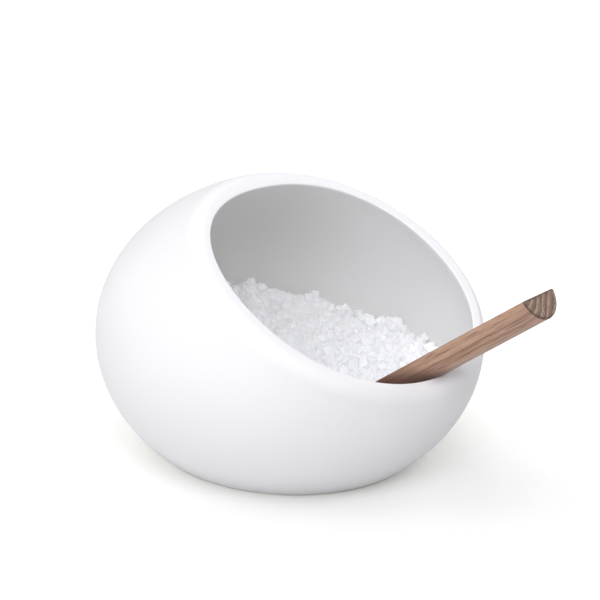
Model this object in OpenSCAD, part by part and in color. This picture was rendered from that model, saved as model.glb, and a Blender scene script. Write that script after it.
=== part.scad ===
// Open-mouthed salt cellar: a round glazed pot with a leaning mouth, coarse salt, and a half-round wooden spoon.
// The origin is the middle of the base, on the table. The mouth leans towards -Y and the spoon comes out over it.

/* [Pot] */
// Widest diameter of the pot
body_d = 105; // [90:1:125]
// Height that the egg shape has before its base and its mouth are cut
egg_h = 85.4; // [78:0.2:100]
// Height of the widest line above the table
waist_h = 32; // [28:0.5:36]
// Thickness of the wall
wall = 3.2; // [2.4:0.1:4.5]
// Thickness of the floor in the middle
floor_t = 4; // [3:0.5:6]
// Rounding where the side meets the flat base
foot_r = 1.2; // [0.6:0.1:3]

/* [Mouth] */
// How far the mouth leans forward from level, in degrees
mouth_tilt = 29.2; // [22:0.2:36]
// Distance of the mouth's plane from the middle of the widest line
mouth_rise = 26.1; // [22:0.1:30]
// How far the lip sways off its plane, up at the sides and down at the front and back
lip_sway = 0.4; // [0:0.1:1]
// Rounding of the lip's outer edge
lip_outer_r = 2.5; // [1:0.1:3]
// Rounding of the lip's inner edge
lip_inner_r = 0.7; // [0.4:0.1:1.2]

/* [Salt] */
// Height of the salt above the table, over the middle of the base
salt_level = 23.3; // [16:0.1:28]
// Rise of the salt from the middle to the back, where the spoon has left it banked
salt_bank = 5; // [0:0.5:9]
// Extra rise of the salt towards the wall at the front and at the back
salt_dish = 2.9; // [0:0.1:4]
// Drop of the salt from the middle to the right
salt_lean = 2.7; // [0:0.1:4]
// Height of the soft lumps in the salt
lump_h = 0.8; // [0:0.1:2]
// Height of the two small heaps that stand against the wall
heap_h = 2.2; // [0:0.1:4]
// Distance from the top of such a heap to its foot
heap_w = 3.5; // [2:0.5:6]
// Roughness of the surface between the crystals
grit = 0.9; // [0.2:0.1:1.5]
// Spacing of the grains that the surface is drawn with
grain_w = 3.6; // [3.2:0.1:6]
// Length of the largest crystals that stand out of the surface
crystal_l = 4.4; // [2:0.1:6]
// Number of those crystals
crystals = 110; // [20:5:130]

/* [Spoon] */
// Diameter of the round rod that the spoon is split from
rod_d = 13.8; // [10:0.2:16]
// Thickness of the spoon, from its flat face to its belly
spoon_t = 6.6; // [4.5:0.1:7.5]
// Length of the spoon
spoon_l = 88.5; // [72:0.5:110]
// Angle at which the spoon leans out over the lip, in degrees
spoon_rise = 38; // [34:0.5:44]
// Width of the hollow in the flat face
scoop_w = 9.6; // [6:0.2:11]
// Depth of the hollow
scoop_t = 3; // [1.5:0.1:4]
// Length of the hollow
scoop_l = 24; // [14:1:34]
// Wood left between the hollow and the nose
scoop_end = 2.6; // [1.5:0.1:5]
// Broken edge round the cut end
end_bevel = 0.5; // [0.2:0.1:1]

/* [Fit] */
// Gap between the salt and what it lies against
salt_gap = 0.3; // [0.2:0.05:0.6]
// Gap between the spoon and the lip that it rests on
rest_gap = 0.25; // [0.15:0.05:0.5]
// Salt left under the nose of the spoon
tip_gap = 2.5; // [1.5:0.5:5]

/* [Hidden] */
glaze_white = "#f4f4f2";
salt_white = "#e6ebf2";
oak_brown = "#a5805f";
body_r = body_d / 2;
egg_r = egg_h / 2;
rod_r = rod_d / 2;
// How squarely the hollow turns from its side to its floor, where 2 would be an ellipse
hollow_square_share = 2.6;
// The lip's roundings give way where the wall is too thin for them
outer_r = min(lip_outer_r, 0.8 * wall);
inner_r = min(lip_inner_r, 0.25 * wall);
overrun = rod_d;
columns = 72;
side_rows = 16;
hollow_rows = 14;
round_rows = 4;
foot_rows = 2;
halvings = 26;
up = [0, 0, 1];

// Points and directions

function unit(v) = v / norm(v);
function turned(phi, p) = [p[0] * sin(phi), -p[0] * cos(phi), p[1]];

// Radius and height on the egg, sunk in by a depth, at a latitude from -90 at the bottom to 90 at the top.
// Inside, the lower half is squarer and ends at the floor.
function skin(lat, depth) =
    depth == 0
    ? [body_r * cos(lat), waist_h + egg_r * sin(lat)]
    : let (p = lat < 0 ? hollow_square_share : 2,
           drop = lat < 0 ? waist_h - floor_t - (depth - wall) : egg_r - depth)
      [(body_r - depth) * pow(max(cos(lat), 0), 2 / p),
       waist_h + sign(lat) * drop * pow(abs(sin(lat)), 2 / p)];
function along(lat, depth) = skin(lat + 1, depth) - skin(lat - 1, depth);
// Square to the skin, away from the middle of the pot
function outward(phi, lat, depth) =
    let (t = unit(along(lat, depth))) turned(phi, [t[1], -t[0]]);

// The mouth is a plane through the egg, and its edge is an ellipse round a middle of its own.
mouth_up = [0, -sin(mouth_tilt), cos(mouth_tilt)];
mouth_down = [0, -cos(mouth_tilt), -sin(mouth_tilt)];
egg_reach = sqrt(pow(body_r * sin(mouth_tilt), 2) + pow(egg_r * cos(mouth_tilt), 2));
mouth_share = sqrt(1 - pow(mouth_rise / egg_reach, 2));
mouth_half_w = body_r * mouth_share;
mouth_half_l = body_r * egg_r / egg_reach * mouth_share;
mouth_mid = [0, 0, waist_h] + mouth_rise / pow(egg_reach, 2)
    * [0, -pow(body_r, 2) * sin(mouth_tilt), pow(egg_r, 2) * cos(mouth_tilt)];

// Height of a point over the lip, measured square to the mouth
function over_mouth(p) =
    let (q = p - mouth_mid, turn = atan2(q[0], q * mouth_down))
    q * mouth_up + lip_sway * cos(2 * turn);
// Latitude at which a meridian meets the lip
function lip_lat(phi, depth, low = -90, high = 90, left = halvings) =
    let (mid = (low + high) / 2)
    left == 0 ? mid
    : over_mouth(turned(phi, skin(mid, depth))) > 0
        ? lip_lat(phi, depth, low, mid, left - 1)
        : lip_lat(phi, depth, mid, high, left - 1);
// Where a column that starts evenly round the foot ends, so that the columns are even round the lip too
function lip_phi(a) =
    atan2(mouth_half_w * sin(a), -mouth_mid[1] + mouth_half_l * cos(mouth_tilt) * cos(a));

// An edge between two faces with outward normals n and m, rounded: the points from the first face to the second
function round_mid(edge, n, m, r) = edge - r * (n + m) / (1 + n * m);
function rounded(edge, n, m, r, steps) =
    let (mid = round_mid(edge, n, m, r), bend = acos(n * m))
    [for (i = [0:steps]) mid + r * (sin(bend * (1 - i / steps)) * n + sin(bend * i / steps) * m) / sin(bend)];
// Degrees of latitude that a rounding takes off the skin
function taken(lat, depth, n, m, r) = r * tan(acos(n * m) / 2) / norm(along(lat, depth)) * 2;

// One column of the pot's surface, from the base, up the side, over the lip and down into the hollow
foot_lat = -asin(waist_h / egg_r);
function column(a) =
    let (phi = lip_phi(a),
         foot_n = outward(a, foot_lat, 0),
         side_lat = lip_lat(phi, 0),
         side_n = outward(phi, side_lat, 0),
         hollow_lat = lip_lat(phi, wall),
         hollow_n = -outward(phi, hollow_lat, wall),
         low = foot_lat + taken(foot_lat, 0, -up, foot_n, foot_r),
         high = side_lat - taken(side_lat, 0, side_n, mouth_up, outer_r),
         top = hollow_lat - taken(hollow_lat, wall, hollow_n, mouth_up, inner_r))
    concat(
        rounded(turned(a, skin(foot_lat, 0)), -up, foot_n, foot_r, foot_rows),
        [for (i = [1:side_rows - 1]) let (s = i / side_rows)
            turned(a + s * (phi - a), skin(low + s * (high - low), 0))],
        rounded(turned(phi, skin(side_lat, 0)), side_n, mouth_up, outer_r, round_rows),
        rounded(turned(phi, skin(hollow_lat, wall)), mouth_up, hollow_n, inner_r, round_rows - 1),
        [for (i = [1:hollow_rows - 1]) let (s = 1 - i / hollow_rows)
            turned(a + s * (phi - a), skin(-90 + s * (top + 90), wall))]);

// A closed surface from columns of points that run from one pole to the other
module closed_surface(first, cols, last) {
    n = len(cols);
    rows = len(cols[0]);
    points = concat([first], [for (c = cols) each c], [last]);
    function at(i, k) = 1 + (i % n) * rows + k;
    polyhedron(points, concat(
        [for (i = [0:n - 1]) [0, at(i, 0), at(i + 1, 0)]],
        [for (i = [0:n - 1], k = [0:rows - 2]) each [
            [at(i, k), at(i, k + 1), at(i + 1, k + 1)],
            [at(i, k), at(i + 1, k + 1), at(i + 1, k)]]],
        [for (i = [0:n - 1]) [at(i, rows - 1), len(points) - 1, at(i + 1, rows - 1)]]));
}

module pot() {
    color(glaze_white)
    closed_surface([0, 0, 0],
        [for (i = [0:columns - 1]) column(i * 360 / columns - 180)],
        [0, 0, floor_t]);
}

// The spoon lies with its belly on the rounded inner edge of the lip, at its lowest point.
spoon_up = [0, sin(spoon_rise), cos(spoon_rise)];
spoon_out = [0, -cos(spoon_rise), sin(spoon_rise)];
front_lat = lip_lat(0, wall);
seat = round_mid(turned(0, skin(front_lat, wall)), mouth_up, -outward(0, front_lat, wall), inner_r)
    + (inner_r + rest_gap + rod_r) * spoon_up;
// From the lip down to the round nose, which stops over the floor
reach_in = rod_r + (seat[2] - rod_r - floor_t - tip_gap) / spoon_out[2];
nose = seat - reach_in * spoon_out;
flat_y = spoon_t - rod_r;

module along_spoon() {
    translate(nose) rotate([90 - spoon_rise, 0, 0]) children();
}

// The split rod, with its round nose at the origin and its flat face up along +Y, grown by a clearance
module split_rod(length, grow, bevel) {
    r = rod_r + grow;
    difference() {
        translate([0, 0, rod_r]) rotate_extrude() polygon(concat(
            [for (a = [-90:7.5:0]) r * [cos(a), sin(a)]],
            [[r, length - rod_r - bevel], [r - bevel, length - rod_r], [0, length - rod_r]]));
        translate([-overrun, flat_y + grow, -overrun])
            cube([2 * overrun, rod_d, length + 2 * overrun]);
    }
}

// An oval trough cut by a ball that runs along the spoon
module scoop() {
    ball_r = (pow(scoop_w / 2, 2) + pow(scoop_t, 2)) / (2 * scoop_t);
    run = scoop_l - scoop_w;
    translate([0, flat_y - scoop_t + ball_r, scoop_end + scoop_w / 2]) {
        sphere(ball_r);
        cylinder(h = run, r = ball_r);
        translate([0, 0, run]) sphere(ball_r);
    }
}

module spoon() {
    color(oak_brown)
    along_spoon($fn = columns) difference() {
        split_rod(spoon_l, 0, end_bevel);
        scoop();
    }
}

// The hollow of the pot, less the gap that the salt keeps
module hollow_space() {
    depth = wall + salt_gap;
    rotate_extrude($fn = columns / 2) polygon(concat(
        [for (lat = [-90:10:40]) skin(lat, depth)], [[0, skin(40, depth)[1]]]));
}

// The salt's surface: dished and banked up towards the back, with soft lumps that follow the size of the pot
heap_places_share = [[0.55, 0.72], [0.88, -0.08]];
function heap_at(p, place) = heap_h * exp(-pow(norm(p - body_r * place) / heap_w, 2));
function salt_top(x, y) =
    let (u = x / body_r, v = y / body_r)
    salt_level + salt_bank * v + salt_dish * v * v - salt_lean * u
    + lump_h * (sin(400 * u + 150 * v) * cos(330 * v - 90 * u) + sin(610 * v - 260 * u) / 2)
    + heap_at([x, y], heap_places_share[0]) + heap_at([x, y], heap_places_share[1]);

// A block whose top is a net of points on that surface, each nudged up or down and sideways like loose grains
cells = ceil(body_d / grain_w);
nudge = rands(-1, 1, 3 * (cells + 1) * (cells + 1), 7);
function net_index(i, k) = i * (cells + 1) + k;
function net_point(i, k) =
    let (inside = i > 0 && k > 0 && i < cells && k < cells ? 0.3 : 0,
         n = 3 * net_index(i, k),
         x = body_d * ((i + inside * nudge[n]) / cells - 1 / 2),
         y = body_d * ((k + inside * nudge[n + 1]) / cells - 1 / 2))
    [x, y, salt_top(x, y) + grit * nudge[n + 2]];
module heap() {
    corners = [for (x = [-1, 1], y = [-1, 1]) [x * body_r, y * body_r, 0]];
    first = net_index(cells, cells) + 1;
    polyhedron(
        concat([for (i = [0:cells], k = [0:cells]) net_point(i, k)], corners),
        concat(
            [for (i = [0:cells - 1], k = [0:cells - 1]) each [
                [net_index(i, k), net_index(i, k + 1), net_index(i + 1, k + 1)],
                [net_index(i, k), net_index(i + 1, k + 1), net_index(i + 1, k)]]],
            [concat([first], [for (i = [0:cells]) net_index(i, 0)], [first + 2]),
             concat([first + 3], [for (i = [cells:-1:0]) net_index(i, cells)], [first + 1]),
             concat([first + 1], [for (k = [cells:-1:0]) net_index(0, k)], [first]),
             concat([first + 2], [for (k = [0:cells]) net_index(cells, k)], [first + 3]),
             [first + 2, first + 3, first + 1, first]]));
}

// One crystal: a slab with a smaller one through it, so that its corners are broken
module crystal(l, w, t) {
    hull() {
        cube([l, w, t], center = true);
        rotate([25, 20, 40]) cube([l, w, t] * 0.9, center = true);
    }
}

// The crystals stand in a spiral of even spacing, and none lies where the spoon comes out.
pick = rands(0, 1, 4 * (crystals + 1), 3);
golden_turn = 137.508;
module salt_crystals() {
    for (k = [1:crystals])
        let (r = body_r * 0.86 * sqrt(k / crystals), p = turned(k * golden_turn, [r, 0]),
             l = crystal_l * (0.45 + 0.55 * pick[4 * k]))
        if (abs(p[0]) > rod_r + l / 2 || p[1] > nose[1] + rod_r)
            translate([p[0], p[1], salt_top(p[0], p[1]) + 0.15 * l])
                rotate([for (n = [1:3]) 360 * pick[4 * k + n]])
                    crystal(l, 0.7 * l, 0.5 * l);
}

module salt() {
    color(salt_white)
    difference() {
        intersection() {
            union() {
                heap();
                salt_crystals();
            }
            hollow_space();
        }
        along_spoon() split_rod(spoon_l, salt_gap, 0);
    }
}

pot();
salt();
spoon();
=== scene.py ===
import math

import bmesh
import bpy
import numpy as np
from mathutils import Matrix, Vector


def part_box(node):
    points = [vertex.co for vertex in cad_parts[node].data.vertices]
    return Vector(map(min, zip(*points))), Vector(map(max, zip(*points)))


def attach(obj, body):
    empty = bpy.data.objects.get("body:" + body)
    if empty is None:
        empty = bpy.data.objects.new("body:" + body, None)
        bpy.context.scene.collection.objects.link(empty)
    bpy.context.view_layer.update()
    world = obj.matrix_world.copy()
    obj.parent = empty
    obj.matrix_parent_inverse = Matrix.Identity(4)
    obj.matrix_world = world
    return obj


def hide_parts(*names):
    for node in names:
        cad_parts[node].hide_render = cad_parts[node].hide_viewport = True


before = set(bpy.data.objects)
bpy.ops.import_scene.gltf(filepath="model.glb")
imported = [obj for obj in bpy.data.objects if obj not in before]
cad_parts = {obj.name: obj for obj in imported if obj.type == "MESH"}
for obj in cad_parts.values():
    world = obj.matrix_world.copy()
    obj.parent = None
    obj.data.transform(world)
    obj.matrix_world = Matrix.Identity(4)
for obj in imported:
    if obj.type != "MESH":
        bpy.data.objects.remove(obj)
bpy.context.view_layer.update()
print("frame loaded:", sorted(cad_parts))

mm = 0.001
scene = bpy.context.scene
rng = np.random.default_rng(11)


# Small tools

def linear(hexColour):
    # sRGB hex to the linear colour that the shaders read
    channels = [int(hexColour[i:i + 2], 16) / 255 for i in (0, 2, 4)]
    return [c / 12.92 if c <= 0.04045 else ((c + 0.055) / 1.055) ** 2.4 for c in channels] + [1.0]


def setNode(tree, node, settings=None, links=None):
    # settings by socket or property, or the stops of a colour ramp; links as socket: (node, its output)
    for name, value in (settings or {}).items():
        if name == "stops":
            ramp = node.color_ramp.elements
            while len(ramp) < len(value):
                ramp.new(0.5)
            for stop, (place, colour) in zip(ramp, value):
                stop.position = place
                stop.color = colour
        elif isinstance(name, int) or name in node.inputs:
            node.inputs[name].default_value = value
        else:
            setattr(node, name, value)
    for name, (source, output) in (links or {}).items():
        tree.links.new(source.outputs[output], node.inputs[name])
    return node


def addNode(tree, kind, settings=None, links=None):
    return setNode(tree, tree.nodes.new(kind), settings, links)


def newMaterial(name):
    material = bpy.data.materials.new(name)
    material.use_nodes = True
    tree = material.node_tree
    return material, tree, tree.nodes["Principled BSDF"]


def makePiece(name, points, faces, materials, smooth=True):
    mesh = bpy.data.meshes.new(name)
    mesh.from_pydata(points, [], faces)
    mesh.validate()
    mesh.update()
    for material in materials:
        mesh.materials.append(material)
    if smooth:
        mesh.shade_smooth()
    piece = bpy.data.objects.new(name, mesh)
    scene.collection.objects.link(piece)
    return piece


def ringFaces(rings, count):
    # the faces of a closed skin: a first point, rings of points round it, and a last point
    faces = [(0, 1 + i, 1 + (i + 1) % count) for i in range(count)]
    for k in range(rings - 1):
        a, b = 1 + k * count, 1 + (k + 1) * count
        faces += [(a + i, b + i, b + (i + 1) % count, a + (i + 1) % count) for i in range(count)]
    a, last = 1 + (rings - 1) * count, 1 + rings * count
    faces += [(a + i, last, a + (i + 1) % count) for i in range(count)]
    return faces


# Pot

potShape = {
    "eggHeight": 85.4,      # mm, before the base and the mouth are cut
    "waist": 32.0,          # height of the widest line
    "wall": 3.2,
    "floor": 4.0,
    "footRounding": 1.2,
    "bareHeight": 0.15,     # the glaze stops where the foot's rounding leaves the table
    "mouthTilt": 29.2,      # degrees that the mouth leans forward
    "mouthRise": 26.1,      # its plane over the middle of the widest line
    "lipSway": 0.4,         # up at the sides, down at the front and back
    "lipAcross": 1.5,       # the lip's outer rounding, an ellipse over its edge and down the side
    "lipDown": 3.2,
    "lipInside": 0.35,      # its inner rounding
    # how the wall's thickness wanders by tenths of a mm in 1, 2, 3 and 4 waves round the lip
    "lipUneven": [(0.23, 0.15), (0.01, -0.17), (0.35, 0.07), (-0.51, -0.12)],
    "unevenFrom": 0.5,      # share of the way up the hollow from which it does
    "seatRounding": 0.7,    # the rounding that the spoon's seat is reckoned with
    "squareness": 2.6,      # how squarely the hollow turns to its floor, 2 is an ellipse
    "columns": 288,
    "sideRows": 70,
    "hollowRows": 60,
    "lipRows": 18,
    "insideRows": 8,
    "footRows": 5,
    "searchSteps": 30,      # halvings in the search for the lip's latitude
}

potLow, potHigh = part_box("pot")
bodyR = round((potHigh.x - potLow.x) / 2 / mm, 1)
eggR = potShape["eggHeight"] / 2
tilt = math.radians(potShape["mouthTilt"])
mouthUp = np.array([0, -math.sin(tilt), math.cos(tilt)])
mouthDown = np.array([0, -math.cos(tilt), -math.sin(tilt)])
reach = math.hypot(bodyR * math.sin(tilt), eggR * math.cos(tilt))
mouthShare = math.sqrt(1 - (potShape["mouthRise"] / reach) ** 2)
mouthHalfW = bodyR * mouthShare
mouthHalfL = bodyR * eggR / reach * mouthShare
mouthMid = np.array([0, 0, potShape["waist"]]) + potShape["mouthRise"] / reach ** 2 * np.array(
    [0, -bodyR ** 2 * math.sin(tilt), eggR ** 2 * math.cos(tilt)])
latStep = math.radians(1)


def skin(lat, depth):
    # radius and height on the egg, sunk in by a depth, from its bottom at -90 degrees to its top
    if np.all(depth == 0):
        return bodyR * np.cos(lat), potShape["waist"] + eggR * np.sin(lat)
    power = np.where(lat < 0, potShape["squareness"], 2.0)
    toFloor = potShape["waist"] - potShape["floor"] - (depth - potShape["wall"])
    drop = np.where(lat < 0, toFloor, eggR - depth)
    return ((bodyR - depth) * np.maximum(np.cos(lat), 0) ** (2 / power),
            potShape["waist"] + np.sign(lat) * drop * np.abs(np.sin(lat)) ** (2 / power))


def turned(heading, radius, height):
    # the point at a heading round the pot, which is 0 at the front
    return np.stack([radius * np.sin(heading), -radius * np.cos(heading), height + 0 * heading], axis=-1)


def slope(lat, depth):
    # how far the skin runs outward and up from one step of latitude below to one above
    above, below = skin(lat + latStep, depth), skin(lat - latStep, depth)
    return above[0] - below[0], above[1] - below[1]


def outward(heading, lat, depth):
    dr, dz = slope(lat, depth)
    size = np.hypot(dr, dz)
    return turned(heading, dz / size, -dr / size)


def latitudes(length, lat, depth):
    # a length up the skin, as latitude
    return length / np.hypot(*slope(lat, depth)) * (2 * latStep)


def overMouth(p):
    # how far a point is over the swaying plane of the mouth
    q = p - mouthMid
    turn = np.arctan2(q[..., 0], q @ mouthDown)
    return q @ mouthUp + potShape["lipSway"] * np.cos(2 * turn)


def lipLat(heading, depth):
    # the latitude at which the skin meets the mouth
    low, high = np.full_like(heading, -math.pi / 2), np.full_like(heading, math.pi / 2)
    for _ in range(potShape["searchSteps"]):
        mid = (low + high) / 2
        over = overMouth(turned(heading, *skin(mid, depth))) > 0
        low, high = np.where(over, low, mid), np.where(over, mid, high)
    return mid


def rounded(edge, n, m, r, steps):
    # the points of a rounded edge between two faces with outward normals n and m, over every column
    dot = np.sum(n * m, axis=-1, keepdims=True)
    bend = np.arccos(dot)
    middle = edge - r * (n + m) / (1 + dot)
    return [middle + r * (np.sin(bend * (1 - t)) * n + np.sin(bend * t) * m) / np.sin(bend)
            for t in np.linspace(0, 1, steps + 1)]


def taken(n, m, r):
    # length that a rounding takes off each of its two faces
    return r * np.tan(np.arccos(np.sum(n * m, axis=-1)) / 2)


def uneven(turn):
    # how much thicker the wall is at the lip than lower down, round the mouth from the front, where it is 0
    return sum(a * (1 - np.cos(waves * turn)) / 2 + b * np.sin(waves * turn)
               for waves, (a, b) in enumerate(potShape["lipUneven"], 1))


def potRows():
    # rings of points up the outside, over the lip and down the hollow
    around = np.linspace(-math.pi, math.pi, potShape["columns"], endpoint=False)
    atLip = np.arctan2(mouthHalfW * np.sin(around),
                       -mouthMid[1] + mouthHalfL * math.cos(tilt) * np.cos(around))
    up = np.broadcast_to([0.0, 0.0, 1.0], (len(around), 3))
    mouth = np.broadcast_to(mouthUp, (len(around), 3))
    extra = uneven(around)
    lipWall = potShape["wall"] + extra
    # edges at the foot and on both sides of the lip, with the normals of the faces that meet there
    footLat = np.full_like(around, -math.asin(potShape["waist"] / eggR))
    sideLat, hollowLat = lipLat(atLip, 0), lipLat(atLip, lipWall)
    footN = outward(around, footLat, 0)
    sideN, hollowN = outward(atLip, sideLat, 0), -outward(atLip, hollowLat, lipWall)
    foot = potShape["footRounding"]
    rows = rounded(turned(around, *skin(footLat, 0)), -up, footN, foot, potShape["footRows"])
    # the side, from the foot's rounding to the lip's
    low = footLat + latitudes(taken(-up, footN, foot), footLat, 0)
    down = latitudes(potShape["lipDown"], sideLat, 0)
    high = sideLat - down
    for t in np.linspace(0, 1, potShape["sideRows"] + 1)[1:-1]:
        rows.append(turned(around + t * (atLip - around), *skin(low + t * (high - low), 0)))
    # the lip
    dot = np.sum(sideN * mouth, axis=-1, keepdims=True)
    inward = (dot * mouth - sideN) / np.sqrt(1 - dot ** 2)
    for a in np.linspace(0, math.pi / 2, potShape["lipRows"] + 1):
        rows.append(turned(atLip, *skin(sideLat - down * (1 - math.sin(a)), 0))
                    + potShape["lipAcross"] * (1 - math.cos(a)) * inward)
    inside = potShape["lipInside"]
    rows += rounded(turned(atLip, *skin(hollowLat, lipWall)), mouth, hollowN, inside, potShape["insideRows"])
    # the hollow, where the wall grows even on the way down
    top = hollowLat - latitudes(taken(hollowN, mouth, inside), hollowLat, lipWall)
    for t in np.linspace(1, 0, potShape["hollowRows"] + 1)[1:-1]:
        lat = -math.pi / 2 + t * (top + math.pi / 2)
        share = max(0, (t - potShape["unevenFrom"]) / (1 - potShape["unevenFrom"]))
        fade = share * share * (3 - 2 * share)
        rows.append(turned(around + t * (atLip - around), *skin(lat, potShape["wall"] + fade * extra)))
    return rows


glazeLook = {
    "white": "ecebe9",
    "shadeOfWhite": "eae9e7",
    "paintedLipLight": "f3f2f1",       # painted light: the lip is painted whiter, as if it caught more light from above
    "lipLightBand": (-3.2, -0.8),    # mm over the mouth's plane, from where it whitens to where it is whitest
    "cloudSize": 26.0,          # mm across a patch of thicker glaze
    "cloudRange": (0.3, 0.7),   # of its noise, from thin to thick glaze
    "roughness": (0.52, 0.61),  # of thin and of thick glaze
    "ripple": 5.0,              # mm between the soft swells that the glaze dries with
    "rippleDepth": 0.02,
    "grit": 0.5,                # mm between the finest grains of the satin surface
    "gritDepth": 0.004,
    "specular": 0.25,
    "ior": 1.5,
}

bisqueLook = {
    "pale": "e6dfd3",
    "dark": "d3cabb",
    "grain": 0.7,               # mm
    "grainDepth": 0.05,
    "roughness": 0.9,
}


def satinWhiteGlaze():
    # Stoneware with a satin tin-white glaze, dipped: a soft, wide sheen and no sharp reflections
    look = glazeLook
    material, tree, shader = newMaterial("satinWhiteGlaze")
    where = addNode(tree, "ShaderNodeTexCoord")
    clouds, swells, grit = (
        addNode(tree, "ShaderNodeTexNoise", {"Scale": 1 / (look[size] * mm), "Detail": detail},
                {"Vector": (where, "Object")})
        for size, detail in (("cloudSize", 2.0), ("ripple", 1.0), ("grit", 1.0)))
    tint = addNode(tree, "ShaderNodeMix",
                   {"data_type": "RGBA", 6: linear(look["white"]), 7: linear(look["shadeOfWhite"])},
                   {0: (clouds, "Fac")})
    # painted light: the glaze is painted whiter towards the lip
    rising = addNode(tree, "ShaderNodeVectorMath", {"operation": "DOT_PRODUCT", 1: tuple(mouthUp / mm)},
                     {0: (where, "Object")})
    start, end = (mouthMid @ mouthUp + over for over in look["lipLightBand"])
    onLip = addNode(tree, "ShaderNodeMapRange", {"From Min": start, "From Max": end},
                    {"Value": (rising, "Value")})
    whitened = addNode(tree, "ShaderNodeMix", {"data_type": "RGBA", 7: linear(look["paintedLipLight"])},
                       {0: (onLip, "Result"), 6: (tint, 2)})
    (thin, thick), (thinRough, thickRough) = look["cloudRange"], look["roughness"]
    gloss = addNode(tree, "ShaderNodeMapRange",
                    {"From Min": thin, "From Max": thick, "To Min": thinRough, "To Max": thickRough},
                    {"Value": (clouds, "Fac")})
    soft = addNode(tree, "ShaderNodeBump", {"Strength": 1.0, "Distance": look["rippleDepth"] * mm},
                   {"Height": (swells, "Fac")})
    fine = addNode(tree, "ShaderNodeBump", {"Strength": 1.0, "Distance": look["gritDepth"] * mm},
                   {"Height": (grit, "Fac"), "Normal": (soft, "Normal")})
    setNode(tree, shader, {"IOR": look["ior"], "Specular IOR Level": look["specular"]},
            {"Base Color": (whitened, 2), "Roughness": (gloss, "Result"), "Normal": (fine, "Normal")})
    return material


def bareBisque():
    # The foot is wiped clean before firing: bare, pale stoneware, dry and slightly gritty
    look = bisqueLook
    material, tree, shader = newMaterial("bareBisque")
    where = addNode(tree, "ShaderNodeTexCoord")
    grains = addNode(tree, "ShaderNodeTexNoise", {"Scale": 1 / (look["grain"] * mm), "Detail": 4.0},
                     {"Vector": (where, "Object")})
    tint = addNode(tree, "ShaderNodeMix",
                   {"data_type": "RGBA", 6: linear(look["pale"]), 7: linear(look["dark"])},
                   {0: (grains, "Fac")})
    bump = addNode(tree, "ShaderNodeBump", {"Strength": 0.6, "Distance": look["grainDepth"] * mm},
                   {"Height": (grains, "Fac")})
    setNode(tree, shader, {"Roughness": look["roughness"]},
            {"Base Color": (tint, 2), "Normal": (bump, "Normal")})
    return material


def makePot():
    rows = potRows()
    points = np.concatenate([[[0, 0, 0]], *rows, [[0, 0, potShape["floor"]]]]) * mm
    faces = ringFaces(len(rows), potShape["columns"])
    pot = makePiece("glazedPot", points, faces, [satinWhiteGlaze(), bareBisque()])
    bare = potShape["bareHeight"] * mm
    for polygon in pot.data.polygons:
        if max(pot.data.vertices[i].co.z for i in polygon.vertices) < bare:
            polygon.material_index = 1
    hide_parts("pot")
    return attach(pot, "vessel")


pot = makePot()
print("pot made:", len(pot.data.polygons), "faces")


# Spoon

spoonShape = {
    "rodRadius": 6.9,       # mm
    "thickness": 6.6,       # from the flat face to the belly
    "length": 88.5,
    "rise": 38.0,           # degrees over level
    "restGap": 0.25,        # between the belly and the lip
    "tipGap": 2.5,          # salt under the nose
    "tipHalf": 0.3,         # half the width at which the nose begins
    "scoopWidth": 9.6,
    "scoopDepth": 3.0,
    "scoopLength": 24.0,
    "scoopEnd": 2.6,        # wood between the hollow and the nose
    "scoopSoft": 0.12,      # so that the hollow's rim isn't a knife edge
    "edge": 0.5,            # rounding of the long edges
    "edgeShare": 0.3,       # of the radius, at most, where the nose narrows
    "endEdge": 0.6,         # rounding of the cut end
    "bellySteps": 44,
    "flatSteps": 26,
    "edgeSteps": 5,
    "noseTurns": (3, 90, 4),    # degrees round the nose, from, to and step between its sections
    "scoopStart": 0.4,      # mm from the nose's last section to the hollow's first
    "scoopStep": 0.45,      # between those along the hollow
    "scoopPast": 1.5,       # beyond the hollow, up to where they go on
    "shaftGap": 1.0,        # before and behind the shaft's sections
    "shaftSections": 30,
    "endTurn": 15,          # degrees between sections round the cut end
}

flatY = spoonShape["thickness"] - spoonShape["rodRadius"]
rise = math.radians(spoonShape["rise"])
spoonUp = np.array([0, math.sin(rise), math.cos(rise)])
spoonOut = np.array([0, -math.cos(rise), math.sin(rise)])


def spoonNose():
    # the belly rests on the rounded inner edge of the lip, at its lowest point
    front, wall, radius = np.zeros(1), potShape["wall"], spoonShape["rodRadius"]
    lat = lipLat(front, wall)
    edge = turned(front, *skin(lat, wall))[0]
    n, m = mouthUp, -outward(front, lat, wall)[0]
    middle = edge - potShape["seatRounding"] * (n + m) / (1 + n @ m)
    seat = middle + (potShape["seatRounding"] + spoonShape["restGap"] + radius) * spoonUp
    deepest = seat[2] - radius - potShape["floor"] - spoonShape["tipGap"]
    return seat - (radius + deepest / spoonOut[2]) * spoonOut


def scoopFloor(x, z):
    # height of the flat face, with the trough that a ball cuts along it
    half, deep = spoonShape["scoopWidth"] / 2, spoonShape["scoopDepth"]
    ball = (half ** 2 + deep ** 2) / (2 * deep)
    start = spoonShape["scoopEnd"] + half
    run = spoonShape["scoopLength"] - spoonShape["scoopWidth"]
    beyond = z - min(max(z, start), start + run)
    inside = ball ** 2 - x * x - beyond * beyond
    if inside <= 0:
        return flatY
    cut = flatY - deep + ball - math.sqrt(inside)
    soft = spoonShape["scoopSoft"]
    return -math.log(math.exp(-cut / soft) + math.exp(-flatY / soft)) * soft


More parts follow.
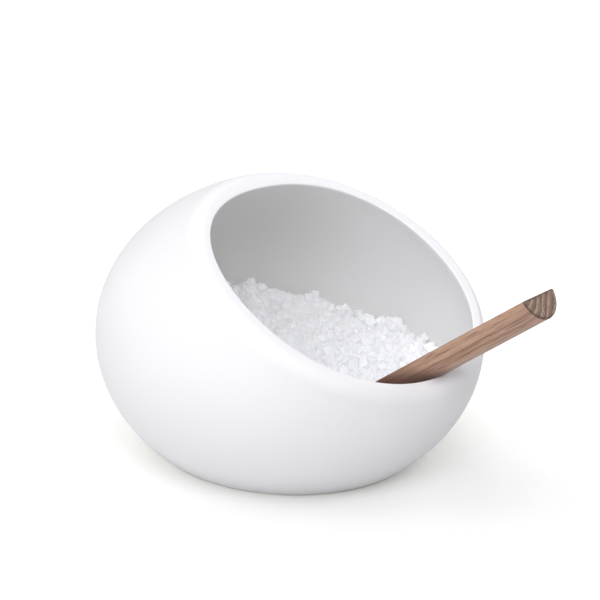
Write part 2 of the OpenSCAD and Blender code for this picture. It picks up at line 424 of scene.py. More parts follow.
def spoonSection(z):
    # one D-shaped ring of points across the stick, round its belly and back over the flat face
    fromEnd = spoonShape["length"] - z
    radius = spoonShape["rodRadius"]
    if z < radius:
        least = spoonShape["tipHalf"] ** 2 + flatY ** 2
        radius = math.sqrt(max(radius ** 2 - (radius - z) ** 2, least))
    shrink, endEdge = 0.0, spoonShape["endEdge"]
    if fromEnd < endEdge:
        shrink = endEdge - math.sqrt(max(endEdge ** 2 - (endEdge - fromEnd) ** 2, 0))
    radius -= shrink
    edge = min(spoonShape["edge"], radius * spoonShape["edgeShare"])
    # centre of the long edge's rounding, which touches the flat face and the belly
    cy = flatY - shrink - edge
    cx = math.sqrt(max((radius - edge) ** 2 - cy ** 2, 0.0001))
    touch = math.atan2(cy, cx)
    points = []
    steps, bends, across = (spoonShape[k] for k in ("bellySteps", "edgeSteps", "flatSteps"))
    for i in range(steps + 1):
        a = touch + (-math.pi - 2 * touch) * i / steps
        points.append((radius * math.cos(a), radius * math.sin(a)))
    for i in range(1, bends + 1):
        a = math.pi - touch + (math.pi / 2 - (math.pi - touch)) * i / bends
        points.append((-cx + edge * math.cos(a), cy + edge * math.sin(a)))
    for i in range(1, across):
        x = -cx + 2 * cx * i / across
        points.append((x, min(scoopFloor(x, z), flatY) - shrink))
    for i in range(bends):
        a = math.pi / 2 + (touch - math.pi / 2) * i / bends
        points.append((cx + edge * math.cos(a), cy + edge * math.sin(a)))
    return points


woodLook = {
    "pale": "bd987d",
    "mid": "a58067",
    "dark": "7c5842",
    "midTone": 0.42,        # where between dark and pale the middle colour stands
    "ringSpacing": 2.1,     # mm from one growth ring to the next
    "pith": (-12.4, 10.1),  # mm from the rod's middle to the heart of the tree
    "sway": 3.0,            # mm that the rings wander
    "swaysPerMm": 0.14,
    "drawn": 0.06,          # streaks and fibres along the stick for each one across it
    "streaksPerMm": 0.7,
    "fibre": 0.4,           # mm across a bundle of fibres, drawn coarser than real so that it shows
    "fibreRoughness": 0.65,
    "fibreShare": 0.7,      # how much fibres and rings weigh in the tone against streaks
    "ringShare": 0.3,
    "toneRange": (0.72, 1.36),  # where the tone is darkest and where it is palest
    "year": [(0.0, 0.1), (0.25, 0.9), (0.7, 0.7), (1.0, 0.1)],   # brightness through one year's growth
    "pore": "684634",
    "poreWidth": 0.34,      # mm across an open vessel
    "poreLength": 5.0,
    "poreNoise": 0.8,       # waves of noise in one such dash
    "poreRange": (0.57, 0.72),  # of that noise, from closed to open
    "poreStrength": 0.7,
    "poreDepth": -0.9,      # against the fibres
    "paintedShade": "814e20",       # painted shade of the front lip, multiplied into the colour of the end that lies in the salt
    "paintedShadeSlope": 2.2,       # mm that the painted shade reaches further up for each mm down the belly
    "paintedShadeBand": (46.0, 31.0),   # mm from the nose, from where it darkens to where it is darkest
    "grainDepth": 0.07,
    "roughness": 0.42,
    "specular": 0.65,
}

endLook = {
    "pale": "b8a291",
    "mid": "967d6e",
    "dark": "7c6457",
    "paleAt": 0.22,         # where in one year's growth the pale and the middle colour stand
    "midAt": 0.5,
    "vessel": 0.45,         # mm across a cut vessel
    "vesselRange": (0.55, 0.72),
    "vesselStrength": 0.8,
    "sawTurn": -23.0,       # degrees that the saw's scratches lean
    "sawMark": 0.5,         # mm between them
    "sawDrawn": (0.12, 0.1),    # waves of noise in a mm along them and into the wood
    "sawRange": (0.55, 0.75),
    "sawStrength": 0.6,
    "rim": "4e4038",        # painted shade of the rounded edge round the end
    "rimBand": (-0.8, -0.2),    # mm from that edge, from where it darkens to where it is darkest
    "rimStrength": 0.7,
    "depth": 0.1,
    "roughness": 0.8,
    "specular": 0.15,
}


def stickPlace(tree, scale=(1, 1, 1)):
    # place in the stick in mm, across it and along it from the nose, however the spoon is turned
    where = addNode(tree, "ShaderNodeTexCoord")
    inStick = addNode(tree, "ShaderNodeMapping",
                      {"vector_type": "TEXTURE", "Location": tuple(spoonNose() * mm),
                       "Rotation": (math.pi / 2 - rise, 0, 0), "Scale": (mm, mm, mm)},
                      {"Vector": (where, "Object")})
    return addNode(tree, "ShaderNodeMapping", {"Scale": scale}, {"Vector": (inStick, "Vector")})


def fromAxis(tree, place):
    # distance across the stick, leaving out how far along it a place is
    across = addNode(tree, "ShaderNodeVectorMath", {"operation": "MULTIPLY", 1: (1, 1, 0)},
                     {0: (place, "Vector")})
    return addNode(tree, "ShaderNodeVectorMath", {"operation": "LENGTH"}, {0: (across, "Vector")})


def yearOfGrowth(tree, place):
    # 0 where a year's growth begins to 1 where it ends, in uneven rings round a pith outside the stick
    look = woodLook
    sway = addNode(tree, "ShaderNodeTexNoise", {"Scale": look["swaysPerMm"], "Detail": 2.0},
                   {"Vector": (place, "Vector")})
    fromPith = addNode(tree, "ShaderNodeVectorMath", {"operation": "SUBTRACT", 1: (*look["pith"], 0)},
                       {0: (place, "Vector")})
    distance = fromAxis(tree, fromPith)
    waved = addNode(tree, "ShaderNodeMath", {"operation": "MULTIPLY_ADD", 1: look["sway"]},
                    {0: (sway, "Fac"), 2: (distance, "Value")})
    rings = addNode(tree, "ShaderNodeMath", {"operation": "DIVIDE", 1: look["ringSpacing"]},
                    {0: (waved, "Value")})
    return addNode(tree, "ShaderNodeMath", {"operation": "FRACT"}, {0: (rings, "Value")})


def oiledWood():
    # Ring-porous hardwood, split, sanded and oiled: dull sheen, short dark pores, streaks along the stick
    look = woodLook
    material, tree, shader = newMaterial("oiledWood")
    place = stickPlace(tree)
    drawn = stickPlace(tree, (1, 1, look["drawn"]))
    streaks = addNode(tree, "ShaderNodeTexNoise", {"Scale": look["streaksPerMm"], "Detail": 3.0},
                      {"Vector": (drawn, "Vector")})
    fibres = addNode(tree, "ShaderNodeTexNoise",
                     {"Scale": 1 / look["fibre"], "Detail": 3.0, "Roughness": look["fibreRoughness"]},
                     {"Vector": (drawn, "Vector")})
    year = addNode(tree, "ShaderNodeValToRGB", {"stops": [(at, (v, v, v, 1)) for at, v in look["year"]]},
                   {"Fac": (yearOfGrowth(tree, drawn), "Value")})
    ringed = addNode(tree, "ShaderNodeMath", {"operation": "MULTIPLY_ADD", 1: look["ringShare"]},
                     {0: (year, "Color"), 2: (streaks, "Fac")})
    tone = addNode(tree, "ShaderNodeMath", {"operation": "MULTIPLY_ADD", 1: look["fibreShare"]},
                   {0: (fibres, "Fac"), 2: (ringed, "Value")})
    darkest, palest = look["toneRange"]
    toned = addNode(tree, "ShaderNodeMapRange", {"From Min": darkest, "From Max": palest},
                    {"Value": (tone, "Value")})
    tones = addNode(tree, "ShaderNodeValToRGB",
                    {"stops": [(0.0, linear(look["dark"])), (look["midTone"], linear(look["mid"])),
                               (1.0, linear(look["pale"]))]}, {"Fac": (toned, "Result")})
    # open pores: thin dark dashes along the stick
    dashes = stickPlace(tree, (1 / look["poreWidth"], 1 / look["poreWidth"], 1 / look["poreLength"]))
    pores = addNode(tree, "ShaderNodeTexNoise", {"Scale": look["poreNoise"], "Detail": 1.0},
                    {"Vector": (dashes, "Vector")})
    closed, opened = look["poreRange"]
    pore = addNode(tree, "ShaderNodeMapRange",
                   {"From Min": closed, "From Max": opened, "To Max": look["poreStrength"]},
                   {"Value": (pores, "Fac")})
    unshaded = addNode(tree, "ShaderNodeMix", {"data_type": "RGBA", 7: linear(look["pore"])},
                  {0: (pore, "Result"), 6: (tones, "Color")})
    # painted shade: the end that lies in the salt, below the front lip, is darkened, and its belly further up
    slant = addNode(tree, "ShaderNodeVectorMath", {"operation": "DOT_PRODUCT", 1: (0, look["paintedShadeSlope"], 1)},
                    {0: (place, "Vector")})
    start, end = look["paintedShadeBand"]
    paintedShade = addNode(tree, "ShaderNodeMapRange",
                   {"interpolation_type": "SMOOTHSTEP", "From Min": start, "From Max": end},
                   {"Value": (slant, "Value")})
    colour = addNode(tree, "ShaderNodeMix",
                     {"data_type": "RGBA", "blend_type": "MULTIPLY", 7: linear(look["paintedShade"])},
                     {0: (paintedShade, "Result"), 6: (unshaded, 2)})
    height = addNode(tree, "ShaderNodeMath", {"operation": "MULTIPLY_ADD", 1: look["poreDepth"]},
                     {0: (pore, "Result"), 2: (fibres, "Fac")})
    bump = addNode(tree, "ShaderNodeBump", {"Strength": 0.8, "Distance": look["grainDepth"] * mm},
                   {"Height": (height, "Value")})
    setNode(tree, shader, {"Roughness": look["roughness"], "Specular IOR Level": look["specular"]},
            {"Base Color": (colour, 2), "Normal": (bump, "Normal")})
    return material


def sawnEndGrain():
    # The same wood sawn across: greyer and drier, with pale arcs where the growth rings end and saw scratches
    look = endLook
    pale, mid, dark = (linear(look[k]) for k in ("pale", "mid", "dark"))
    material, tree, shader = newMaterial("sawnEndGrain")
    place = stickPlace(tree)
    arcs = addNode(tree, "ShaderNodeValToRGB",
                   {"stops": [(0.0, dark), (look["paleAt"], pale), (look["midAt"], mid), (1.0, dark)]},
                   {"Fac": (yearOfGrowth(tree, place), "Value")})
    pores = addNode(tree, "ShaderNodeTexNoise", {"Scale": 1 / look["vessel"], "Detail": 2.0},
                    {"Vector": (place, "Vector")})
    closed, opened = look["vesselRange"]
    pore = addNode(tree, "ShaderNodeMapRange",
                   {"From Min": closed, "From Max": opened, "To Max": look["vesselStrength"]},
                   {"Value": (pores, "Fac")})
    drilled = addNode(tree, "ShaderNodeMix", {"data_type": "RGBA", 7: linear(woodLook["pore"])},
                      {0: (pore, "Result"), 6: (arcs, "Color")})
    sawn = addNode(tree, "ShaderNodeMapping",
                   {"Rotation": (0, 0, math.radians(look["sawTurn"])),
                    "Scale": (1 / look["sawMark"], *look["sawDrawn"])}, {"Vector": (place, "Vector")})
    scratches = addNode(tree, "ShaderNodeTexNoise", {"Scale": 1.0, "Detail": 2.0},
                        {"Vector": (sawn, "Vector")})
    smooth, scored = look["sawRange"]
    scratch = addNode(tree, "ShaderNodeMapRange",
                      {"From Min": smooth, "From Max": scored, "To Max": look["sawStrength"]},
                      {"Value": (scratches, "Fac")})
    scratched = addNode(tree, "ShaderNodeMix", {"data_type": "RGBA", 7: pale},
                        {0: (scratch, "Result"), 6: (drilled, 2)})
    # how near a place is to the belly or the flat face, whichever is nearer
    proud = addNode(tree, "ShaderNodeMath", {"operation": "SUBTRACT", 1: spoonShape["rodRadius"]},
                    {0: (fromAxis(tree, place), "Value")})
    parts = addNode(tree, "ShaderNodeSeparateXYZ", None, {"Vector": (place, "Vector")})
    overFlat = addNode(tree, "ShaderNodeMath", {"operation": "SUBTRACT", 1: flatY}, {0: (parts, "Y")})
    nearest = addNode(tree, "ShaderNodeMath", {"operation": "MAXIMUM"},
                      {0: (proud, "Value"), 1: (overFlat, "Value")})
    # painted shade: the end is darkened towards its rounded edge
    start, end = look["rimBand"]
    rim = addNode(tree, "ShaderNodeMapRange",
                  {"From Min": start, "From Max": end, "To Max": look["rimStrength"]},
                  {"Value": (nearest, "Value")})
    colour = addNode(tree, "ShaderNodeMix", {"data_type": "RGBA", 7: linear(look["rim"])},
                     {0: (rim, "Result"), 6: (scratched, 2)})
    rough = addNode(tree, "ShaderNodeMath", {"operation": "ADD"}, {0: (pores, "Fac"), 1: (scratches, "Fac")})
    bump = addNode(tree, "ShaderNodeBump", {"Strength": 0.8, "Distance": look["depth"] * mm},
                   {"Height": (rough, "Value")})
    setNode(tree, shader, {"Roughness": look["roughness"], "Specular IOR Level": look["specular"]},
            {"Base Color": (colour, 2), "Normal": (bump, "Normal")})
    return material


def makeSpoon():
    shape = spoonShape
    radius, length, endEdge, gap = (shape[k] for k in ("rodRadius", "length", "endEdge", "shaftGap"))
    # where the sections lie: round the nose, past the hollow, along the shaft and round the cut end
    tip = [radius * (1 - math.cos(math.radians(a))) for a in np.arange(*shape["noseTurns"])]
    scoopTo = shape["scoopEnd"] + shape["scoopLength"] + shape["scoopPast"]
    scoop = list(np.arange(tip[-1] + shape["scoopStart"], scoopTo, shape["scoopStep"]))
    shaft = list(np.linspace(scoop[-1] + gap, length - endEdge - gap, shape["shaftSections"]))
    cut = [length - endEdge * (1 - math.sin(math.radians(a))) for a in range(0, 91, shape["endTurn"])]
    rings = [[(x, y, z) for x, y in spoonSection(z)] for z in tip + scoop + shaft + cut]
    count = len(rings[0])
    points = [p for ring in rings for p in ring]
    faces = [tuple(range(count))[::-1]]
    for k in range(len(rings) - 1):
        a, b = k * count, (k + 1) * count
        faces += [(a + i, a + (i + 1) % count, b + (i + 1) % count, b + i) for i in range(count)]
    faces.append(tuple((len(rings) - 1) * count + i for i in range(count)))
    across, up, out = np.array(points).T
    placed = spoonNose() + np.outer(across, [1, 0, 0]) + np.outer(up, spoonUp) + np.outer(out, spoonOut)
    spoon = makePiece("splitRodSpoon", placed * mm, faces, [oiledWood(), sawnEndGrain()])
    sawnFaces = 1 + (len(cut) - 2) * count
    for polygon in spoon.data.polygons[-sawnFaces:]:
        polygon.material_index = 1
    spoon.data.polygons[-1].use_smooth = False
    fix = bmesh.new()
    fix.from_mesh(spoon.data)
    bmesh.ops.recalc_face_normals(fix, faces=fix.faces)
    fix.to_mesh(spoon.data)
    fix.free()
    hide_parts("spoon")
    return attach(spoon, "spoon")


spoon = makeSpoon()
print("spoon made:", len(spoon.data.polygons), "faces")


# Salt

saltShape = {
    "level": 23.3,          # mm over the table, above the middle of the base
    "bankBack": 5.0,        # rise to the back
    "bankCurve": 2.9,       # extra rise to the front and back walls
    "bankLeft": 2.7,        # rise to the left
    "lump": 0.8,            # height of the soft lumps
    "lumpTurns": [(400, 150), (-90, 330), (-260, 610)],   # degrees of their waves in one radius, in x and y
    "heapHeight": 2.2,      # small heaps that stand against the far wall
    "heapWidth": 3.5,
    "heapPlaces": [(0.55, 0.72), (0.88, -0.08)],   # in shares of the pot's radius
    "waves": 16,            # finer unevenness, from crest to crest in mm and its height as a share of that
    "longestWave": 13.0,
    "nextWave": 0.86,       # length of each wave against the one before
    "waveHeight": 0.022,
    "gap": 0.3,             # from the wall and the spoon
    "rings": 150,           # rings and turns of the bed's points
    "turns": 840,
    "skirt": 14,            # rings down the wall
    "bottomShare": 0.6,     # radius of the last of them against the one before
    "settling": 12,         # rounds in which the bed's edge finds the wall
    "smallCrystals": 5600,  # pressed into the bed's surface
    "smallSizes": (0.9, 3.2),
    "smallHeights": (-0.3, 0.3),    # of their middles over the bed, in shares of their size
    "largeCrystals": 200,   # loose on top
    "largeSizes": (1.6, 4.0),
    "largeHeights": (0.0, 0.4),
    "wallCrystals": 260,    # rolled to the wall
    "wallSizes": (1.8, 4.2),
    "wallHeights": (0.0, 0.45),
    "wallBand": 6.0,
    "sizeSpread": (1.3, 3.6),   # most crystals are small, by a beta distribution
    "crystalReach": 0.52,   # from a crystal's middle to its corners, as a share of its size
    "windowReach": 0.6,     # and to the last of the bed's points that it may raise
    "crystalRoom": 0.1,     # mm between crystals and the spoon
}

crystalForm = {
    "shapes": 30,
    "length": 0.5,          # half sizes of a block, in shares of its length
    "width": (0.34, 0.48),
    "height": (0.26, 0.44),
    "worn": (0.78, 1.0),    # how far its corners are worn
    "knobs": 4,             # points that stand out of it
    "knobReach": 0.46,
    "knobShares": (1, 0.85, 0.7),
}

waveTurns = rng.uniform(0, 2 * math.pi, saltShape["waves"])
waveAngles = rng.uniform(0, math.pi, saltShape["waves"])


def saltTop(x, y):
    # height of the salt before its crystals: a bank with soft lumps, finer waves and two heaps
    shape = saltShape
    u, v = x / bodyR, y / bodyR
    z = shape["level"] + shape["bankBack"] * v + shape["bankCurve"] * v * v - shape["bankLeft"] * u
    du, dv = np.radians(u), np.radians(v)
    first, second, third = (alongX * du + alongY * dv for alongX, alongY in shape["lumpTurns"])
    z = z + shape["lump"] * (np.sin(first) * np.cos(second) + np.sin(third) / 2)
    for i in range(shape["waves"]):
        length = shape["longestWave"] * shape["nextWave"] ** i
        across = x * math.cos(waveAngles[i]) + y * math.sin(waveAngles[i])
        z = z + shape["waveHeight"] * length * np.sin(across * 2 * math.pi / length + waveTurns[i])
    for hu, hv in shape["heapPlaces"]:
        apart = (x - hu * bodyR) ** 2 + (y - hv * bodyR) ** 2
        z = z + shape["heapHeight"] * np.exp(-apart / shape["heapWidth"] ** 2)
    return z


def hollowRadius(z):
    # radius that the salt may fill at a height in the pot's hollow
    waist, floor, wall = (potShape[k] for k in ("waist", "floor", "wall"))
    below = z < waist
    share = np.where(below, (waist - z) / (waist - floor), (z - waist) / (eggR - wall))
    power = np.where(below, potShape["squareness"], 2.0)
    widest = bodyR - (wall + saltShape["gap"])
    return widest * np.maximum(1 - np.clip(share, 0, 1) ** power, 0) ** (1 / power)


nose = spoonNose()
noseMid = nose + spoonShape["rodRadius"] * spoonOut


def spoonDepth(p):
    # how far points lie inside the spoon or its way out, in mm; below zero is clear of it
    q = p - noseMid
    beyond = np.minimum(q @ spoonOut, 0)
    upward = q @ spoonUp
    fromBelly = spoonShape["rodRadius"] - np.sqrt(q[..., 0] ** 2 + upward ** 2 + beyond ** 2)
    return np.minimum(fromBelly, flatY - upward)


def underSpoon(x, y):
    # height of the lowest salt that would touch the spoon's belly, far above the pot where there is no spoon
    nowhere = 1000.0
    radius = spoonShape["rodRadius"] + saltShape["gap"]
    half = np.sqrt(np.maximum(radius ** 2 - x ** 2, 0))
    out = (y - noseMid[1] + half * spoonUp[1]) / spoonOut[1]
    shaft = noseMid[2] + out * spoonOut[2] - half * spoonUp[2]
    ball = noseMid[2] - np.sqrt(np.maximum(half ** 2 - (y - noseMid[1]) ** 2, 0))
    clear = (np.abs(x) >= radius) | ((out < 0) & (np.abs(y - noseMid[1]) >= half))
    return np.where(clear, nowhere, np.where(out < 0, ball, shaft))


def crystalShape():
    # a broken block: the hull of a rough box and a few points that stand out of it
    form = crystalForm
    corners = np.array([(x, y, z) for x in (-1, 1) for y in (-1, 1) for z in (-1, 1)], float)
    block = corners * [form["length"], rng.uniform(*form["width"]), rng.uniform(*form["height"])]
    block *= rng.uniform(*form["worn"], block.shape)
    knobs = rng.normal(size=(form["knobs"], 3))
    knobs *= form["knobReach"] / np.linalg.norm(knobs, axis=1)[:, None] * form["knobShares"]
    hull = bmesh.new()
    for p in np.concatenate([block, knobs]):
        hull.verts.new(p)
    result = bmesh.ops.convex_hull(hull, input=hull.verts)
    spare = result["geom_interior"] + result["geom_unused"]
    loose = {v for v in spare if isinstance(v, bmesh.types.BMVert)}
    bmesh.ops.delete(hull, geom=list(loose), context="VERTS")
    hull.verts.index_update()
    points = np.array([v.co for v in hull.verts])
    faces = [[v.index for v in f.verts] for f in hull.faces]
    hull.free()
    return points, faces


def facePlanes(points, faces):
    # outward normals of a crystal's faces and their distances from its middle
    corners = np.array([points[f[:3]] for f in faces])
    normals = np.cross(corners[:, 1] - corners[:, 0], corners[:, 2] - corners[:, 0])
    size = np.linalg.norm(normals, axis=1)
    real = size > 1e-7
    normals, first = normals[real] / size[real, None], corners[real, 0]
    far = np.sum(normals * first, axis=1)
    return normals * np.sign(far)[:, None], np.abs(far)


def randomTurn():
    # a turn in space, every one as likely, from a quaternion
    q = rng.normal(size=4)
    a, b, c, d = q / np.linalg.norm(q)
    return np.array([[1 - 2 * (c * c + d * d), 2 * (b * c - a * d), 2 * (b * d + a * c)],
                     [2 * (b * c + a * d), 1 - 2 * (b * b + d * d), 2 * (c * d - a * b)],
                     [2 * (b * d - a * c), 2 * (c * d + a * b), 1 - 2 * (b * b + c * c)]])


def scattered(kind, fromR=0.0):
    # crystals that lie on the bed, clear of the wall and of the spoon's way: middle, size and turn of each
    (least, most), heights = saltShape[kind + "Sizes"], saltShape[kind + "Heights"]
    found = []
    while len(found) < saltShape[kind + "Crystals"]:
        r, a = math.sqrt(rng.uniform(fromR ** 2, bodyR ** 2)), rng.uniform(0, 2 * math.pi)
        x, y = r * math.cos(a), r * math.sin(a)
        size = least + (most - least) * rng.beta(*saltShape["sizeSpread"])
        bedZ = float(saltTop(np.array([x]), np.array([y]))[0])
        middle = np.array([x, y, bedZ + rng.uniform(*heights) * size])
        corner = saltShape["crystalReach"] * size
        if r > float(hollowRadius(np.array([middle[2]]))[0]) - corner:
            continue
        if float(spoonDepth(middle[None])[0]) > -corner - saltShape["crystalRoom"]:
            continue
        found.append((middle, size, randomTurn()))
    return found


def bedWindow(x, y, middle, halfWidth):
    # the bed's points round a crystal, as rings and turns of its grid
    rings, turns = x.shape
    r, a = math.hypot(middle[0], middle[1]), math.atan2(middle[1], middle[0]) % (2 * math.pi)
    column = int(round(a / (2 * math.pi) * turns))
    edge = math.hypot(x[-1, column % turns], y[-1, column % turns])
    first = max(0, int((r - halfWidth) / edge * rings) - 1)
    last = min(rings, int((r + halfWidth) / edge * rings) + 2)
    least = 0.3                     # mm from the middle, where a window would be wider than all the turns
    wide = min(turns // 2 - 1, int(halfWidth / max(r, least) / (2 * math.pi) * turns) + 2)
    return np.ix_(range(first, last), np.arange(column - wide, column + wide + 1) % turns)


def pressedIn(x, y, z, shapes):
    # raises the bed's points to the tops of small crystals, so that the heap stays one skin
    planes = [facePlanes(*shape) for shape in shapes]
    farOff, steepest = 9.0, 1e-3    # mm past any crystal, and the upward share of the steepest face
    for middle, size, turn in scattered("small"):
        normals, far = planes[rng.integers(len(planes))]
        window = bedWindow(x, y, middle, saltShape["windowReach"] * size)
        dx, dy = x[window] - middle[0], y[window] - middle[1]
        top, bottom = np.full(dx.shape, farOff), np.full(dx.shape, -farOff)
        for (nx, ny, nz), d in zip(normals @ turn.T, far * size):
            height = (d - nx * dx - ny * dy) / (nz if abs(nz) > steepest else steepest)
            if nz > 0:
                top = np.minimum(top, height)
            else:
                bottom = np.maximum(bottom, height)
        z[window] = np.where(top > bottom, np.maximum(z[window], middle[2] + top), z[window])
    return z


def makeSaltBed(material, shapes):
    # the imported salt: rings of points out to the wall, over a skirt that follows the hollow
    rings, turns, skirt = (saltShape[k] for k in ("rings", "turns", "skirt"))
    angles = np.linspace(0, 2 * math.pi, turns, endpoint=False)
    ax, ay = np.cos(angles), np.sin(angles)
    wallR = np.full(turns, bodyR - potShape["wall"])
    for _ in range(saltShape["settling"]):
        wallR = hollowRadius(saltTop(wallR * ax, wallR * ay))
    r = np.outer(np.arange(1, rings + 1) / rings, wallR)
    x, y = r * ax, r * ay
    z = pressedIn(x, y, saltTop(x, y), shapes)
    overSpoon = (y - nose[1]) * spoonUp[1] + (z - nose[2]) * spoonUp[2] > flatY + saltShape["gap"]
    z = np.where(overSpoon, z, np.minimum(z, underSpoon(x, y)))
    bottom = potShape["floor"] + saltShape["gap"]
    down = np.sin(np.arange(1, skirt + 1) / skirt * math.pi / 2)[:, None]
    skirtZ = z[-1] + (bottom - z[-1]) * down
    skirtR = np.minimum(hollowRadius(skirtZ), wallR)
    skirtR[-1] *= saltShape["bottomShare"]
    top = np.stack([x, y, z], axis=-1).reshape(-1, 3)
    side = np.stack([skirtR * ax, skirtR * ay, skirtZ], axis=-1).reshape(-1, 3)
    points = np.concatenate([[[0, 0, z[0].mean()]], top, side, [[0, 0, bottom]]])
    bed = makePiece("saltBed", points * mm, ringFaces(rings + skirt, turns), [material])
    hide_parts("salt")
    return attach(bed, "vessel")


def makeSaltGrains(material, shapes):
    # the larger crystals, loose on top of the bed
    allPoints, allFaces, start = [], [], 0
    loose = scattered("large")
    atWall = scattered("wall", bodyR - potShape["wall"] - saltShape["wallBand"])
    for middle, size, turn in loose + atWall:
        points, faces = shapes[rng.integers(len(shapes))]
        allPoints.append(middle + size * points @ turn.T)
        allFaces += [[start + i for i in f] for f in faces]
        start += len(points)
    grains = makePiece("saltCrystals", np.concatenate(allPoints) * mm, allFaces, [material], smooth=False)
    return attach(grains, "vessel")


saltLook = {
    "ice": "f6f6f7",
    "core": "eaebed",
    "frost": 2.5,           # mm across a milky patch
    "pit": 0.6,             # mm between the pits that raking left
    "pitDepth": 0.08,
    "roughness": 0.45,
    "ior": 1.54,
    "heapGlow": 4.5,        # mm that light travels inside the heap, and inside one crystal
    "crystalGlow": 1.2,
    "heapPaintedGlow": 0.12,   # painted glow: light that the salt gives off itself, standing in for light that comes through it from all sides
    "crystalPaintedGlow": 0.13,
}


def coarseSalt(name, kind):
    # Halite crystals, raked and dried: milky white, light soaks from grain to grain
    look = saltLook
    material, tree, shader = newMaterial(name)
    where = addNode(tree, "ShaderNodeTexCoord")
    frost, pits = (
        addNode(tree, "ShaderNodeTexNoise", {"Scale": 1 / (look[size] * mm), "Detail": detail},
                {"Vector": (where, "Object")})
        for size, detail in (("frost", 3.0), ("pit", 2.0)))
    tint = addNode(tree, "ShaderNodeMix",
                   {"data_type": "RGBA", 6: linear(look["core"]), 7: linear(look["ice"])},
                   {0: (frost, "Fac")})
    bump = addNode(tree, "ShaderNodeBump", {"Strength": 0.35, "Distance": look["pitDepth"] * mm},
                   {"Height": (pits, "Fac")})
    # the emission is painted glow, not a lamp: it brightens the salt as if light came through it from all
    # sides
    setNode(tree, shader,
            {"Roughness": look["roughness"], "IOR": look["ior"], "Subsurface Weight": 1.0,
             "Subsurface Radius": (1.0, 1.0, 1.0), "Subsurface Scale": look[kind + "Glow"] * mm,
             "Emission Color": linear(look["core"]), "Emission Strength": look[kind + "PaintedGlow"]},
            {"Base Color": (tint, 2), "Normal": (bump, "Normal")})
    return material


packedSalt = coarseSalt("packedSalt", "heap")
looseSalt = coarseSalt("looseSalt", "crystal")
crystalShapes = [crystalShape() for _ in range(crystalForm["shapes"])]
bed = makeSaltBed(packedSalt, crystalShapes)
grains = makeSaltGrains(looseSalt, crystalShapes)
print("salt made:", len(bed.data.polygons), "and", len(grains.data.polygons), "faces")


# Floor, light and camera

studio = {
    "floor": "e8e8e8",
    "floorSize": 12.0,          # m
    "lift": (0.165, 0.31),      # extra white that only the picture of the floor has, as overexposed paper
    "liftBand": (-45.0, 10.0),  # mm beyond the pot's middle, from where it grows to where it is full
    "liftFrom": 145.0,          # degrees, azimuth of the side where it is full; there this painted light washes out the floor's shadow
    "liftTint": (1.0, 1.0, 0.86, 1.0),
    "boxSize": 0.8,             # m, side of each square softbox
    "boxDistance": 1.5,         # m from the pot
    "boxTint": (0.947, 0.952, 1.0),
    # azimuth and elevation in degrees, power in watts
    "softboxes": [(187, 8, 3.5), (232, 8, 1.8), (277, 8, 4.7),
                  (7, 30, 0.7), (52, 30, 4.0), (97, 30, 5.8), (142, 30, 2.0), (277, 30, 6.3), (322, 30, 1.6),
                  (142, 52, 2.3), (187, 52, 1.8), (232, 52, 3.9), (322, 52, 7.0),
                  (217, 74, 0.7), (307, 74, 2.1), (0, 90, 1.7)],
}

cameraView = {
    "azimuth": -53.055,     # degrees, 0 looks along +Y
    "elevation": 20.5,
    "roll": 2.6,
    "distance": 700.0,      # mm
    "pictureWidth": 600,    # pixels
    "pixelsPerMm": 3.701,   # at that distance
    "right": 2.687,         # mm that the view's middle lies beside and above the middle of the pot
    "above": 8.905,
    "potMiddle": 32.1,
    "sensorWidth": 36,
    "clip": (0.01, 20),     # m, the nearest and the farthest that is seen
}


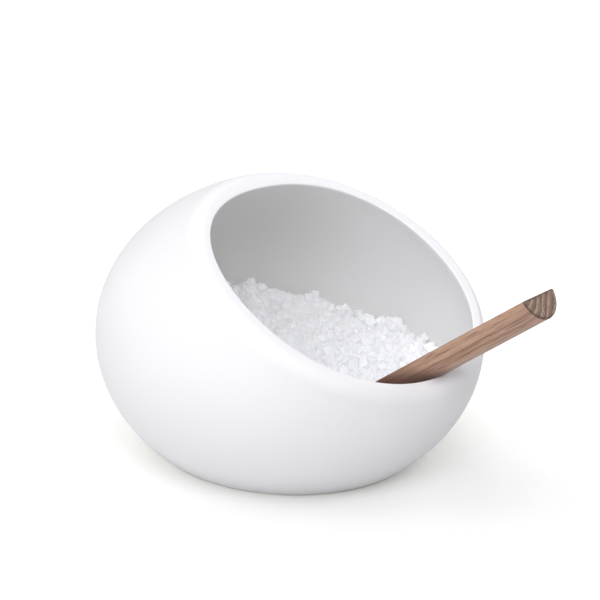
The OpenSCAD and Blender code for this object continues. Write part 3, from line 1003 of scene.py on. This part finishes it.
def makeFloor():
    # Matt white background paper, overexposed until only the soft shadow is left
    material, tree, shader = newMaterial("whitePaper")
    tree.nodes.remove(shader)
    paper = addNode(tree, "ShaderNodeBsdfDiffuse", {"Color": linear(studio["floor"])})
    rays = addNode(tree, "ShaderNodeLightPath")
    where = addNode(tree, "ShaderNodeTexCoord")
    # painted light: the floor's picture is lifted more towards one side, where its shadow is washed out
    side = math.radians(studio["liftFrom"])
    beyond = addNode(tree, "ShaderNodeVectorMath",
                     {"operation": "DOT_PRODUCT", 1: (math.sin(side) / mm, -math.cos(side) / mm, 0)},
                     {0: (where, "Object")})
    (start, end), (least, most) = studio["liftBand"], studio["lift"]
    white = addNode(tree, "ShaderNodeMapRange",
                    {"interpolation_type": "SMOOTHSTEP", "From Min": start, "From Max": end,
                     "To Min": least, "To Max": most}, {"Value": (beyond, "Value")})
    lift = addNode(tree, "ShaderNodeMath", {"operation": "MULTIPLY"},
                   {0: (rays, "Is Camera Ray"), 1: (white, "Result")})
    glow = addNode(tree, "ShaderNodeEmission", {"Color": studio["liftTint"]}, {"Strength": (lift, "Value")})
    both = addNode(tree, "ShaderNodeAddShader", None, {0: (paper, "BSDF"), 1: (glow, "Emission")})
    setNode(tree, tree.nodes["Material Output"], None, {"Surface": (both, "Shader")})
    half = studio["floorSize"] / 2
    corners = [(-half, -half, 0), (half, -half, 0), (half, half, 0), (-half, half, 0)]
    floor = makePiece("floor", corners, [(0, 1, 2, 3)], [material])


def makeLights():
    # a world that only the camera sees as white, and softboxes all round
    world = bpy.data.worlds.new("studioWhite")
    world.use_nodes = True
    tree = world.node_tree
    rays = addNode(tree, "ShaderNodeLightPath")
    setNode(tree, tree.nodes["Background"], {"Color": (1, 1, 1, 1)}, {"Strength": (rays, "Is Camera Ray")})
    scene.world = world
    for n, (azimuth, elevation, power) in enumerate(studio["softboxes"]):
        a, e = math.radians(azimuth), math.radians(elevation)
        back = Vector((math.sin(a) * math.cos(e), -math.cos(a) * math.cos(e), math.sin(e)))
        data = bpy.data.lights.new("softbox%d" % n, "AREA")
        data.size = studio["boxSize"]
        data.energy = power
        data.color = studio["boxTint"]
        lamp = bpy.data.objects.new("softbox%d" % n, data)
        lamp.location = back * studio["boxDistance"]
        lamp.rotation_mode = "QUATERNION"
        lamp.rotation_quaternion = (-back).to_track_quat("-Z", "Y")
        scene.collection.objects.link(lamp)


def makeCamera():
    view = cameraView
    a, e, roll = (math.radians(view[k]) for k in ("azimuth", "elevation", "roll"))
    level = Vector((-math.sin(a), math.cos(a), 0))
    forward = level * math.cos(e) - Vector((0, 0, 1)) * math.sin(e)
    flatRight = Vector((level.y, -level.x, 0))
    flatUp = flatRight.cross(forward)
    right = math.cos(roll) * flatRight + math.sin(roll) * flatUp
    up = math.cos(roll) * flatUp - math.sin(roll) * flatRight
    aim = Vector((0, 0, view["potMiddle"])) + view["right"] * right + view["above"] * up
    data = bpy.data.cameras.new("camera")
    data.sensor_width = view["sensorWidth"]
    data.lens = view["pixelsPerMm"] * view["distance"] * data.sensor_width / view["pictureWidth"]
    data.clip_start, data.clip_end = view["clip"]
    camera = bpy.data.objects.new("camera", data)
    placed = Matrix((right, up, -forward)).transposed().to_4x4()
    placed.translation = (aim - view["distance"] * forward) * mm
    camera.matrix_world = placed
    scene.collection.objects.link(camera)
    scene.camera = camera


makeFloor()
makeLights()
makeCamera()
scene.view_settings.view_transform = "Standard"
print("studio made")
